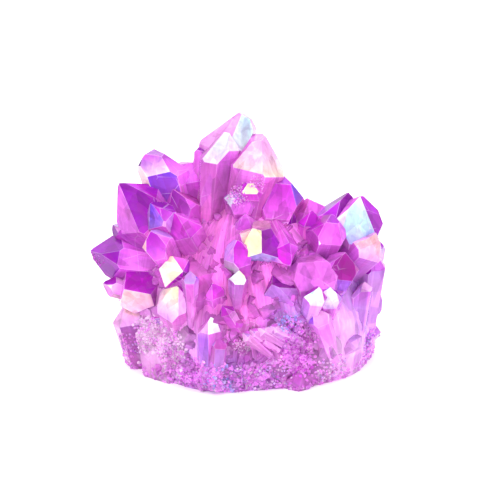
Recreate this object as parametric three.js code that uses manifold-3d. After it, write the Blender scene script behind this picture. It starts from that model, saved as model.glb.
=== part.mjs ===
// A cluster of quartz crystals grown together on their own matrix, cut off flat below.
// Millimetres, +Z up, front towards -Y. The origin is under the middle of the cluster, on the flat cut.

import * as THREE from "three";
import { ConvexGeometry } from "three/addons/geometries/ConvexGeometry.js";
import { mergeVertices } from "three/addons/utils/BufferGeometryUtils.js";
import Module from "manifold-3d";

const wasm = await Module();
wasm.setup();

// Habit of quartz: six prism faces, and six pyramid faces whose normals stand off the long axis.
const SIDES = 6;
const PYRAMID_NORMAL_ANGLE = 51.8;
// A prism narrows towards its root by this angle, as crystals do where they crowd together.
const ROOT_TAPER_ANGLE = 4;
// Irregular growth, as shares of a crystal's radius.
const SIDE_VARIATION = 0.14;
const MAJOR_FACE_VARIATION = 0.1;
// Minor pyramid faces stand a little further out than major ones, so they are smaller.
const MINOR_FACE_OFFSET = [0.08, 0.34];

// The point that the crystals radiate from, and the share of the way to it that a crystal is long.
const HEART = new THREE.Vector3(2, 0, 10);
const ROOT_SHARE = 0.82;
// No crystal is shorter than this many of its radii, unless its length is given.
const LEAST_LENGTH = 3.2;

// Plain crystals fill the sides, the top and the back between the named ones.
const FILL_COUNT = 150;
const FILL_REACH = { left: 34, right: 32, front: 23, back: 25, up: 37 };
const FILL_RADIUS = [2.2, 4.6];
const FILL_HEIGHT_SHARE = [0.84, 1.0];
const FRONT_FILL_SHARE = 0.88;
// They point half way between the dome's normal and straight out, give or take half this angle.
const FILL_SCATTER_ANGLE = 24;
// Each is turned round the dome by up to this, in radians, off its even place.
const FILL_SCATTER_TURN = 0.5;
// The lowest ones point this far below level, as the sine of the angle.
const FILL_DIP = 0.12;
// Where the way out looks forward by more than this, a plain crystal is a smaller front one.
const FRONT_FILL_FROM = 0.15;
const FRONT_FILL_RADIUS_SHARE = 0.8;
// A plain crystal is left out where a named one already takes its place.
const CROWDING = 0.88;

// Short crystals stand out round the foot, and thin ones lie in a sheaf across its front.
const SKIRT_COUNT = 26;
const SKIRT_HEIGHT = [5, 15];
const SKIRT_PROUD = [-0.8, 0.8];
const SKIRT_RADIUS = [1.5, 3.2];
const SKIRT_LEAN = [20, 70];
const SKIRT_SCATTER_ANGLE = 50;
// Each moves on round the foot by up to this share of the way to the next.
const SKIRT_SCATTER_TURN = 0.6;
const SHEAF = {
  count: 5,
  first: [1.5, -22.5, 15],
  step: [1.5, 0.25, 0.2],
  lean: 46,
  fan: 3,
  heading: 196,
  radius: 1.15,
  length: 9,
  scatter: 0.5,
};

// The matrix: an outline on the ground, and how far it reaches and stands at each level.
const BASE_OUTLINE = [
  [34, 2], [32, -6], [28, -13], [20, -18], [9.5, -20.5], [-6, -22], [-16, -16.5],
  [-25, -6], [-27, 4], [-20, 16], [-5, 22], [12, 21], [26, 15],
];
const BASE_PROFILE = [
  [0, 0], [0.97, 0], [1.0, 1.6], [1.01, 6], [0.99, 11], [0.96, 16],
  [0.89, 21], [0.79, 26], [0.64, 31], [0.45, 35.5], [0.22, 39], [0, 40],
];
const BASE_SEGMENTS = 34;
const OUTLINE_STEPS = 720;
// Lumps on the matrix: how proud they are, and how often two waves of them come round and up.
const BASE_ROUGHNESS = 0.75;
const BASE_LUMPS = [
  { round: 9, up: 0.9, start: 0 },
  { round: 17, up: -1.7, start: 1.3 },
];

// The space kept above the cut; everything below it is taken away.
const ROOM = 200;
// Planes meet in one point only where they stand apart by more than this.
const LEAST_SLANT = 1e-6;
// Points closer than this, in mm, are one point.
const SAME_POINT = 1e-2;
const ROUNDING = 1e-5;

const degrees = THREE.MathUtils.degToRad;
const toDegrees = THREE.MathUtils.radToDeg;

// Each named crystal: its tip in mm, its lean from upright and the heading of that lean (0 is +X,
// -90 is the front), and its radius. "spin" turns its faces about its axis; at 0 one looks forward.
// "shift" moves the prism off the tip, forward and to the right. "caps" sets how far out each pyramid
// face stands, from the front face round by the right; a low number makes a large face. "cuts" are
// broken or stunted ends: the way round, the slope off the axis and how far in from the tip.
const CRYSTALS = [
  { name: "spire", tip: [2.2, 6, 59.3], lean: 16, heading: 29, radius: 5.5, spin: 0,
    shift: [0, -2.4], caps: [0, 0.15, 0.3, 0.35, 0.15, 0.02], cuts: [[60, 18, 0.3]] },
  { name: "shoulder", tip: [5.9, 1, 55.4], lean: 13, heading: 26, radius: 6.1, spin: 34,
    caps: [0.02, 0.2, 0.4, 0.35, 0.04, 0], cuts: [[-70, 24, 0.26]] },
  { name: "finger", tip: [-1.9, -1, 55.7], lean: 8, heading: 45, radius: 3.9, spin: 30,
    shift: [0, -1.2], caps: [0.12, 0.2, 0.3, 0.3, 0.15, 0], cuts: [[0, 10, 0.2]] },
  { name: "dart", tip: [-6.4, 3, 53], lean: 10, heading: 53, radius: 2.6, spin: 20,
    shift: [0, -0.6] },
  { name: "horn", tip: [-19.3, 1, 51.5], lean: 14, heading: 166, radius: 5.0, spin: 12,
    shift: [0, 0.8], cuts: [[60, 20, 0.3]] },
  { name: "broken_top", tip: [-12.3, 3, 48.5], lean: 8, heading: 140, radius: 4.8, spin: 25,
    cuts: [[0, 0, 0.35]] },
  { name: "left_blade", tip: [-26.4, -5, 44.4], lean: 39, heading: -157, radius: 5.8, spin: 43,
    caps: [0, 0.3, 0.45, 0.45, 0.3, 0.02] },
  { name: "left_ridge", tip: [-19.1, -10, 41.2], lean: 35, heading: -142, radius: 3.8, spin: 0 },
  { name: "bud_left", tip: [-28.5, -4, 34.1], lean: 49, heading: 176, radius: 1.9, spin: 0 },
  { name: "far_left", tip: [-33.6, -6, 28.3], lean: 74, heading: -162, radius: 4.8, spin: 0 },
  { name: "sliver", tip: [-18.9, -14, 36], lean: 35, heading: -128, radius: 3.6, spin: 10 },
  { name: "front_plate", tip: [-11.6, -19, 28.3], lean: 67, heading: -71, radius: 3.4, spin: 56,
    caps: [0.1, 0.1, 0.1, 0.1, 0.1, 0.1] },
  { name: "narrow", tip: [-9.9, -20.5, 29], lean: 10, heading: -90, radius: 1.7, spin: 0 },
  { name: "pale_plate", tip: [-12.6, -20, 24.9], lean: 36, heading: -100, radius: 3.8, spin: 23,
    shift: [0, -1], caps: [0.2, 0.4, 0.4, 0.3, 0.2, 0] },
  { name: "peach_block", tip: [-25.4, -13, 21.6], lean: 68, heading: -120, radius: 5.0, spin: 8,
    caps: [0, 0.5, 0.04, 0.5, 0.02, 0.5] },
  { name: "clear_bud", tip: [-30.8, -8, 21.2], lean: 65, heading: -167, radius: 2.0, spin: 0 },
  { name: "steep_left", tip: [-14.3, -5, 43], lean: 22, heading: -149, radius: 4.4, spin: 0 },
  { name: "mauve", tip: [-13.9, -10, 39], lean: 29, heading: -150, radius: 3.8, spin: 0 },
  { name: "druse_stub", tip: [1, -8, 44.6], lean: 32, heading: -90, radius: 3.8, spin: 0,
    cuts: [[0, 0, 0.6]] },
  { name: "cream_stub", tip: [3.4, -10, 45], lean: 56, heading: -87, radius: 2.5, spin: 0,
    cuts: [[0, 0, 0.6]] },
  { name: "violet_dome", tip: [11, -4, 46.1], lean: 21, heading: -63, radius: 5.7, spin: 0,
    cuts: [[0, 0, 0.3]] },
  { name: "saddle", tip: [18.3, 2, 40], lean: 16, heading: 29, radius: 5.4, spin: 0,
    cuts: [[90, 12, 0.35]] },
  { name: "magenta_dome", tip: [22.2, -11, 38.6], lean: 29, heading: -63, radius: 4.6, spin: 0,
    cuts: [[0, 0, 0.3]] },
  { name: "magenta_tip", tip: [17.3, -7, 38.6], lean: 9, heading: -61, radius: 2.5, spin: 0 },
  { name: "right_head", tip: [28.1, -6.6, 41.7], lean: 22, heading: -80, radius: 5.4, spin: 8,
    caps: [0, 0.05, 0.4, 0.5, 0.4, 0.42] },
  { name: "right_ridge", tip: [25.8, -2, 41.3], lean: 14, heading: 6, radius: 5.0, spin: 10,
    shift: [0, -2] },
  { name: "right_lower", tip: [31.8, -9, 33.8], lean: 39, heading: -36, radius: 4.2, spin: 0 },
  { name: "right_penta", tip: [24.6, -14, 30.9], lean: 30, heading: -61, radius: 3.6, spin: 0 },
  { name: "orange_strip", tip: [1, -14, 35.3], lean: 55, heading: -138, radius: 2.6, spin: 53 },
  { name: "cream_point", tip: [5.7, -19, 32.6], lean: 90, heading: -90, radius: 3.8, spin: 0,
    caps: [0, 0.5, 0.04, 0.5, 0.02, 0.5], length: 14 },
  { name: "magenta_slope", tip: [12.1, -17, 28.8], lean: 114, heading: -70, radius: 3.2, spin: 0,
    length: 14 },
  { name: "centre_tip", tip: [0.3, -16, 34.6], lean: 19, heading: -102, radius: 3.4, spin: 30 },
  { name: "glint", tip: [0.8, -19, 28.6], lean: 9, heading: -61, radius: 2.1, spin: 0 },
  { name: "dark_cap", tip: [8, -18.5, 25], lean: 56, heading: -112, radius: 4.6, spin: 4 },
  { name: "glint_right", tip: [18.5, -19, 24.6], lean: 22, heading: -59, radius: 2.5, spin: 0 },
  { name: "glint_far", tip: [21.1, -17, 23.8], lean: 28, heading: -83, radius: 2.9, spin: 0 },
  { name: "rose_tip", tip: [-5.1, -18, 25.2], lean: 15, heading: -125, radius: 2.5, spin: 30 },
  { name: "tile", tip: [-3, -21, 21], lean: 30, heading: -158, radius: 1.7, spin: 0 },
  { name: "lavender_low", tip: [-5.5, -20.5, 18.1], lean: 4, heading: -65, radius: 2.7, spin: 30,
    length: 14 },
  { name: "rose_low", tip: [-3.3, -20.5, 14.2], lean: 8, heading: 45, radius: 2.1, spin: 0,
    length: 13 },
  { name: "drusy_slab", tip: [-16.8, -5.8, 18.3], lean: 13, heading: 117, radius: 7.2, spin: 34,
    length: 24, cuts: [[0, 0, 0.55]] },
  { name: "left_wall", tip: [-24.8, -6, 17.1], lean: 11, heading: -178, radius: 4.5, spin: 10,
    length: 25 },
  { name: "neck_centre", tip: [-7.8, -15, 31.6], lean: 16, heading: -78, radius: 7.4, spin: 18,
    cuts: [[0, 8, 0.5]] },
  { name: "neck_right", tip: [16.3, -14, 32.2], lean: 20, heading: -99, radius: 6.6, spin: 8,
    cuts: [[0, -10, 0.45]] },
  { name: "pink_blade", tip: [17.7, -18, 19.1], lean: 19, heading: -170, radius: 2.6, spin: 30,
    length: 14 },
  { name: "back_tower", tip: [-6, 13, 50], lean: 20, heading: 105, radius: 5, spin: 10 },
  { name: "back_left", tip: [-22, 12, 41], lean: 36, heading: 150, radius: 5.4, spin: 20 },
  { name: "back_right", tip: [14, 13, 36.5], lean: 34, heading: 62, radius: 5.2, spin: 5 },
  { name: "back_middle", tip: [3, 24, 33], lean: 58, heading: 88, radius: 5, spin: 0 },
  { name: "back_corner", tip: [27, 15, 30], lean: 52, heading: 38, radius: 5, spin: 15 },
  { name: "back_low", tip: [-16, 23, 27], lean: 62, heading: 122, radius: 4.6, spin: 25 },
  { name: "side_left", tip: [-32, 7, 22], lean: 74, heading: 168, radius: 4.6, spin: 10 },
  { name: "wall_back", tip: [32, 9, 26], lean: 3, heading: 10, radius: 4.4, spin: 10,
    shift: [0, -1.5], length: 34 },
  { name: "wall_middle", tip: [32.7, 2, 29], lean: 2, heading: 0, radius: 3.6, spin: 0,
    shift: [0, -1.6], length: 34 },
  { name: "wall_front", tip: [32.1, -4, 27], lean: 3, heading: -20, radius: 3.8, spin: 20,
    shift: [-1, -1.2], length: 32 },
  { name: "wall_corner", tip: [29.6, -9, 22], lean: 4, heading: -40, radius: 3.6, spin: 12,
    shift: [-1.5, -1], length: 30 },
];

// One repeatable stream of numbers from 0 to 1.
let seed = 20731;
function random() {
  seed = (Math.imul(seed, 1664525) + 1013904223) >>> 0;
  return seed / 4294967296;
}

function between([low, high]) {
  return low + (high - low) * random();
}

function direction(lean, heading) {
  return new THREE.Vector3(
    Math.sin(lean) * Math.cos(heading),
    Math.sin(lean) * Math.sin(heading),
    Math.cos(lean),
  );
}

// How far the ground outline reaches at an angle, along a smooth closed curve through its points.
const outlineCurve = new THREE.CatmullRomCurve3(
  BASE_OUTLINE.map(([x, y]) => new THREE.Vector3(x, y, 0)),
  true,
);
const outlinePoints = outlineCurve.getPoints(OUTLINE_STEPS).map((p) => ({
  angle: Math.atan2(p.y, p.x),
  reach: Math.hypot(p.x, p.y),
}));
outlinePoints.sort((a, b) => a.angle - b.angle);

function outlineReach(angle) {
  const turned = Math.atan2(Math.sin(angle), Math.cos(angle));
  const next = outlinePoints.find((p) => p.angle >= turned) ?? outlinePoints[0];
  return next.reach;
}

// The corners of the convex solid inside all planes, each plane as a normal and a distance.
function cornersOf(planes) {
  const corners = [];
  for (let i = 0; i < planes.length; i += 1) {
    for (let j = i + 1; j < planes.length; j += 1) {
      const cross = new THREE.Vector3().crossVectors(planes[i].normal, planes[j].normal);
      for (let k = j + 1; k < planes.length; k += 1) {
        const share = cross.dot(planes[k].normal);
        if (Math.abs(share) < LEAST_SLANT) continue;
        const corner = new THREE.Vector3()
          .crossVectors(planes[j].normal, planes[k].normal)
          .multiplyScalar(planes[i].distance)
          .addScaledVector(
            new THREE.Vector3().crossVectors(planes[k].normal, planes[i].normal),
            planes[j].distance,
          )
          .addScaledVector(cross, planes[k].distance)
          .divideScalar(share);
        const inside = planes.every((p) => p.normal.dot(corner) < p.distance + ROUNDING);
        const known = corners.some((c) => c.distanceTo(corner) < SAME_POINT);
        if (inside && !known) corners.push(corner);
      }
    }
  }
  return corners;
}

// A quartz crystal with its tip at tip, as a closed convex geometry.
function crystal({ tip, lean, heading, radius, spin, shift = [0, 0], caps, length, cuts = [] }) {
  const point = new THREE.Vector3(...tip);
  const axis = direction(degrees(lean), degrees(heading));
  const forward = new THREE.Vector3(0, -1, -1);
  forward.addScaledVector(axis, -forward.dot(axis)).normalize();
  const right = new THREE.Vector3().crossVectors(axis, forward);
  const reach = length ?? Math.max(ROOT_SHARE * point.distanceTo(HEART), LEAST_LENGTH * radius);
  const capAngle = degrees(PYRAMID_NORMAL_ANGLE);
  const taper = degrees(ROOT_TAPER_ANGLE);
  const shoulder = radius * Math.tan(capAngle);
  const planes = [];
  for (let k = 0; k < SIDES; k += 1) {
    const around = degrees(spin) + (k * 2 * Math.PI) / SIDES;
    const outward = forward.clone().multiplyScalar(Math.cos(around));
    outward.addScaledVector(right, Math.sin(around));
    const centred = shift[0] * Math.cos(around) + shift[1] * Math.sin(around);
    const sideDistance = radius * (1 + SIDE_VARIATION * (2 * random() - 1)) + centred;
    const sideNormal = outward.clone().multiplyScalar(Math.cos(taper));
    sideNormal.addScaledVector(axis, -Math.sin(taper));
    const onSide = point.clone().addScaledVector(outward, sideDistance);
    onSide.addScaledVector(axis, -shoulder);
    planes.push({ normal: sideNormal, distance: sideNormal.dot(onSide) });
    const growth = k % 2 === 0 ? MAJOR_FACE_VARIATION * random() : between(MINOR_FACE_OFFSET);
    const capOffset = radius * (caps ? caps[k] : growth);
    const capNormal = outward.clone().multiplyScalar(Math.sin(capAngle));
    capNormal.addScaledVector(axis, Math.cos(capAngle));
    planes.push({ normal: capNormal, distance: capNormal.dot(point) + capOffset });
  }
  const rootNormal = axis.clone().negate();
  planes.push({ normal: rootNormal, distance: rootNormal.dot(point) + reach });
  const apex = cornersOf(planes).reduce((a, b) => (b.dot(axis) > a.dot(axis) ? b : a));
  const correction = point.clone().sub(apex);
  for (const [around, slope, depth] of cuts) {
    const cutNormal = forward.clone().multiplyScalar(Math.cos(degrees(around)));
    cutNormal.addScaledVector(right, Math.sin(degrees(around)));
    cutNormal.multiplyScalar(Math.sin(degrees(slope))).addScaledVector(axis, Math.cos(degrees(slope)));
    planes.push({ normal: cutNormal, distance: cutNormal.dot(apex) - depth * radius });
  }
  return new ConvexGeometry(cornersOf(planes).map((corner) => corner.add(correction)));
}

// Plain crystals on a dome round the heart, spread evenly by the golden angle.
function fillCrystals() {
  const list = [];
  const golden = Math.PI * (3 - Math.sqrt(5));
  for (let i = 0; i < FILL_COUNT; i += 1) {
    const rise = 1 - ((1 + FILL_DIP) * (i + 0.5)) / FILL_COUNT;
    const around = i * golden + FILL_SCATTER_TURN * random();
    const level = Math.sqrt(1 - rise * rise);
    const way = new THREE.Vector3(level * Math.cos(around), level * Math.sin(around), rise);
    const reachX = way.x < 0 ? FILL_REACH.left : FILL_REACH.right;
    const reachY = way.y < 0 ? FILL_REACH.front : FILL_REACH.back;
    const isFront = way.y < -FRONT_FILL_FROM;
    const share = between(FILL_HEIGHT_SHARE) * (isFront ? FRONT_FILL_SHARE : 1);
    const tip = [
      HEART.x + share * reachX * way.x,
      HEART.y + share * reachY * way.y,
      HEART.z + share * FILL_REACH.up * way.z,
    ];
    const outward = new THREE.Vector3(way.x / reachX, way.y / reachY, way.z / FILL_REACH.up);
    outward.normalize().lerp(way, 0.5).normalize();
    const lean = toDegrees(Math.acos(outward.z)) + FILL_SCATTER_ANGLE * (random() - 0.5);
    const heading = toDegrees(Math.atan2(outward.y, outward.x)) + FILL_SCATTER_ANGLE * (random() - 0.5);
    const radius = between(FILL_RADIUS) * (isFront ? FRONT_FILL_RADIUS_SHARE : 1);
    const spin = 60 * random();
    const place = new THREE.Vector3(...tip);
    const crowded = [...CRYSTALS, ...list].some(
      (other) => place.distanceTo(new THREE.Vector3(...other.tip)) < CROWDING * (other.radius + radius),
    );
    if (!crowded) list.push({ name: `fill_${i}`, tip, lean, heading, radius, spin });
  }
  return list;
}

// Short crystals round the foot of the matrix.
function skirtCrystals() {
  const list = [];
  for (let i = 0; i < SKIRT_COUNT; i += 1) {
    const around = ((i + SKIRT_SCATTER_TURN * random()) * 2 * Math.PI) / SKIRT_COUNT;
    const height = between(SKIRT_HEIGHT);
    const reach = outlineReach(around) + between(SKIRT_PROUD);
    const tip = [reach * Math.cos(around), reach * Math.sin(around), height];
    const heading = toDegrees(around) + SKIRT_SCATTER_ANGLE * (random() - 0.5);
    const lean = between(SKIRT_LEAN);
    const radius = between(SKIRT_RADIUS);
    list.push({ name: `skirt_${i}`, tip, lean, heading, radius, spin: 60 * random() });
  }
  return list;
}

// A sheaf of thin prisms lying side by side across the front of the foot.
function sheafCrystals() {
  return Array.from({ length: SHEAF.count }, (_, i) => ({
    name: `sheaf_${i}`,
    tip: SHEAF.first.map((start, axis) => start + i * SHEAF.step[axis] + SHEAF.scatter * random()),
    lean: SHEAF.lean + SHEAF.fan * i,
    heading: SHEAF.heading,
    radius: SHEAF.radius,
    spin: 60 * random(),
    length: SHEAF.length,
  }));
}

// The matrix under the crystals: a low rough mound on the ground outline.
function base() {
  const profile = BASE_PROFILE.map(([share, height]) => new THREE.Vector2(share, height));
  const mound = new THREE.LatheGeometry(profile, BASE_SEGMENTS);
  mound.rotateX(Math.PI / 2);
  const place = mound.attributes.position;
  for (let i = 0; i < place.count; i += 1) {
    const share = Math.hypot(place.getX(i), place.getY(i));
    const angle = Math.atan2(place.getY(i), place.getX(i));
    const height = place.getZ(i);
    const waves = BASE_LUMPS.map(({ round, up, start }) =>
      Math.sin(angle * round + height * up + start),
    );
    const rough = height > 0 ? (BASE_ROUGHNESS * (waves[0] + waves[1])) / 2 : 0;
    const reach = share * (outlineReach(angle) + rough);
    place.setXY(i, reach * Math.cos(angle), reach * Math.sin(angle));
  }
  return mound;
}

// A closed geometry as a solid that can be joined and cut.
function solidOf(geometry) {
  const bare = geometry.clone();
  bare.deleteAttribute("normal");
  bare.deleteAttribute("uv");
  const merged = mergeVertices(bare, 10 * ROUNDING);
  const corners = merged.index.array;
  const kept = [];
  for (let i = 0; i < corners.length; i += 3) {
    const [a, b, c] = [corners[i], corners[i + 1], corners[i + 2]];
    if (a !== b && b !== c && c !== a) kept.push(a, b, c);
  }
  const mesh = new wasm.Mesh({
    numProp: 3,
    vertProperties: new Float32Array(merged.attributes.position.array),
    triVerts: new Uint32Array(kept),
  });
  return new wasm.Manifold(mesh);
}

function geometryOf(solid) {
  const mesh = solid.getMesh();
  const geometry = new THREE.BufferGeometry();
  geometry.setAttribute("position", new THREE.BufferAttribute(mesh.vertProperties, 3));
  geometry.setIndex(new THREE.BufferAttribute(mesh.triVerts, 1));
  geometry.computeVertexNormals();
  return geometry;
}

// Everything is grown together in one body, cut off flat at the ground.
let cluster = solidOf(base());
for (const grown of [...CRYSTALS, ...fillCrystals(), ...skirtCrystals(), ...sheafCrystals()]) {
  cluster = cluster.add(solidOf(crystal(grown)));
}
const aboveGround = new THREE.BoxGeometry(ROOM, ROOM, ROOM);
aboveGround.translate(0, 0, ROOM / 2);
cluster = cluster.intersect(solidOf(aboveGround));
const bodies = cluster.decompose().sort((a, b) => b.volume() - a.volume());

const quartz = new THREE.MeshStandardMaterial({ color: 0xd070d8, roughness: 0.12, metalness: 0 });
quartz.transparent = true;
quartz.opacity = 0.85;
const clusterMesh = new THREE.Mesh(geometryOf(bodies[0]), quartz);
clusterMesh.name = "quartz_cluster";

// The middle of the cluster comes over the origin.
clusterMesh.geometry.computeBoundingBox();
const middle = clusterMesh.geometry.boundingBox.getCenter(new THREE.Vector3());
clusterMesh.position.set(-middle.x, -middle.y, 0);

const group = new THREE.Group();
group.add(clusterMesh);

export default group;
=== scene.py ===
"""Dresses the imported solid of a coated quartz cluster: facets, small growth, druse, film and stage."""

import itertools
import math
import random
from collections import namedtuple
from functools import partial

import bmesh
import bpy
import numpy as np
from bpy.props import FloatProperty, FloatVectorProperty, IntProperty, PointerProperty
from bpy.types import Operator, Panel, PropertyGroup
from mathutils import Matrix, Vector


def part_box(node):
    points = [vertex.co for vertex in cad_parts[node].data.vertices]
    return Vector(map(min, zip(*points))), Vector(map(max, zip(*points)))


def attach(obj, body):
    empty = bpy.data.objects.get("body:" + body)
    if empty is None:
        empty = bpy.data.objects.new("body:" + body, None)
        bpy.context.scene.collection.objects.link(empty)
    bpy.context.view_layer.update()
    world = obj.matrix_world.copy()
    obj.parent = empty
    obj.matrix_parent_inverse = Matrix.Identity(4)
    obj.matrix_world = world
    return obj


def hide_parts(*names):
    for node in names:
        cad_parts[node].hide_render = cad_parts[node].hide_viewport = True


bl_info = {
    "name": "Coated quartz cluster",
    "version": (1, 0, 0),
    "blender": (4, 5, 0),
    "location": "3D View > Sidebar > Quartz",
    "description": "Builds a cluster of film-coated quartz crystals over its packed solid",
    "category": "Add Mesh",
}

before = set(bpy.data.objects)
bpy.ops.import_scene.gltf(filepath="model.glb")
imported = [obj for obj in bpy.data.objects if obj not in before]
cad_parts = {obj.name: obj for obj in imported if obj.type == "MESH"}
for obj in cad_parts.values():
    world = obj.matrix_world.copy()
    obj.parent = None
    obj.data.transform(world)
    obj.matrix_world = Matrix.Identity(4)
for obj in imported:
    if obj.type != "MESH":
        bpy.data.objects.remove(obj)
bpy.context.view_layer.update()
CAD_NODE = "quartz_cluster"
MM = 0.001
# The crystals' mesh in millimetres, kept until the druse has grown on it.
BODY = "crystals_mm"

# ---- sizes shared with the solid
# Lengths are in millimetres and angles in degrees. A pair is the least and the most.

SIDES = 6
SIXTH_TURN = 60
PYRAMID_NORMAL_ANGLE = 51.8
ROOT_TAPER_ANGLE = 4
SIDE_VARIATION = 0.14
MAJOR_FACE_VARIATION = 0.1
MINOR_FACE_OFFSET = (0.08, 0.34)
HEART = np.array((2.0, 0.0, 10.0))
ROOT_SHARE = 0.82
LEAST_LENGTH = 3.2
STREAM_SEED = 20731
STREAM_FACTOR = 1664525
STREAM_STEP = 1013904223
STREAM_SPAN = 2**32

FILL_COUNT = 150
FILL_REACH = {"left": 34, "right": 32, "front": 23, "back": 25, "up": 37}
FILL_RADIUS = (2.2, 4.6)
FILL_HEIGHT_SHARE = (0.84, 1.0)
FRONT_FILL_SHARE = 0.88
FILL_SCATTER_ANGLE = 24
FILL_SCATTER_TURN = 0.5
FILL_DIP = 0.12
FRONT_FILL_FROM = 0.15
FRONT_FILL_RADIUS_SHARE = 0.8
CROWDING = 0.88

SKIRT_COUNT = 26
SKIRT_HEIGHT = (5, 15)
SKIRT_PROUD = (-0.8, 0.8)
SKIRT_RADIUS = (1.5, 3.2)
SKIRT_LEAN = (20, 70)
SKIRT_SCATTER_ANGLE = 50
SKIRT_SCATTER_TURN = 0.6
SKIRT_ROUGH = 0.6

# A sheaf: its first tip, the step from tip to tip, the first lean and how much each leans more.
SHEAF_COUNT = 5
SHEAF_FIRST = (1.5, -22.5, 15)
SHEAF_STEP = (1.5, 0.25, 0.2)
SHEAF_SCATTER = 0.5
SHEAF_LEAN = (46, 3)
SHEAF_HEADING = 196
SHEAF_RADIUS = 1.15
SHEAF_LENGTH = 9

# The matrix: its outline at the ground, then its width as a share of that by height, up to its top.
BASE_OUTLINE = [
    (34, 2), (32, -6), (28, -13), (20, -18), (9.5, -20.5), (-6, -22), (-16, -16.5),
    (-25, -6), (-27, 4), (-20, 16), (-5, 22), (12, 21), (26, 15),
]
BASE_PROFILE = [
    (0.97, 0), (1.0, 1.6), (1.01, 6), (0.99, 11), (0.96, 16), (0.89, 21), (0.79, 26),
    (0.64, 31), (0.45, 35.5), (0.22, 39),
]
BASE_TOP = 40
OUTLINE_STEPS = 720

# ---- small growth, which the solid leaves out

# Small crystals over the mound, by layer: how many, how proud their tips stand, radius, how far they turn
# aside, length and the share of their film that is worn off.
Layer = namedtuple("Layer", "count proud radius scatter length rough")
MOUND_LAYERS = {
    "blunt": Layer(420, (-0.2, 0.8), (2.0, 4.4), 24, 6.0, 0.8),
    "crevice": Layer(170, (0.4, 1.8), (0.5, 1.3), 30, 5.0, 0.4),
}
MOUND_HEIGHT = (0.8, 37.0)
# Where the body is smooth and carries none of them: centre, reach and the layers left out.
MOUND_BARE = [
    ((27.0, -12.0, 11.0), 10.0, ("blunt", "crevice")),
    ((20.0, -16.5, 9.0), 5.0, ("crevice",)),
    ((-5.5, -20.5, 17.0), 3.5, ("crevice",)),
    ((-4.0, -18.0, 24.0), 7.5, ("crevice",)),
    ((-5.0, -14.5, 32.0), 6.0, ("crevice",)),
    ((6.0, -18.0, 21.0), 6.0, ("crevice",)),
]

# ---- facet tones, as sRGB hex: the film's own colours, with painted reflections and painted shade

# The pale and bluish tones (w, c, s, i, y, p and b) are partly painted reflections of the lights, and the
# darkest (d, n and z) partly painted shade. The others are the film's own interference colours.
TONES = {
    "w": "#EFF8FC",
    "c": "#BEF4FA",
    "s": "#8E8CF8",
    "i": "#A4B6F6",
    "l": "#C490EC",
    "y": "#F6EFB4",
    "p": "#F6C6BA",
    "b": "#F0AEEA",
    "k": "#EC74EC",
    "o": "#DC62DF",
    "r": "#D254BC",
    "g": "#A01C92",
    "m": "#BA22BE",
    "v": "#A21CBA",
    "d": "#7A108F",
    "n": "#420C62",
    "u": "#6448E0",
    "z": "#3620B4",
}

# ---- crystals

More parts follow.
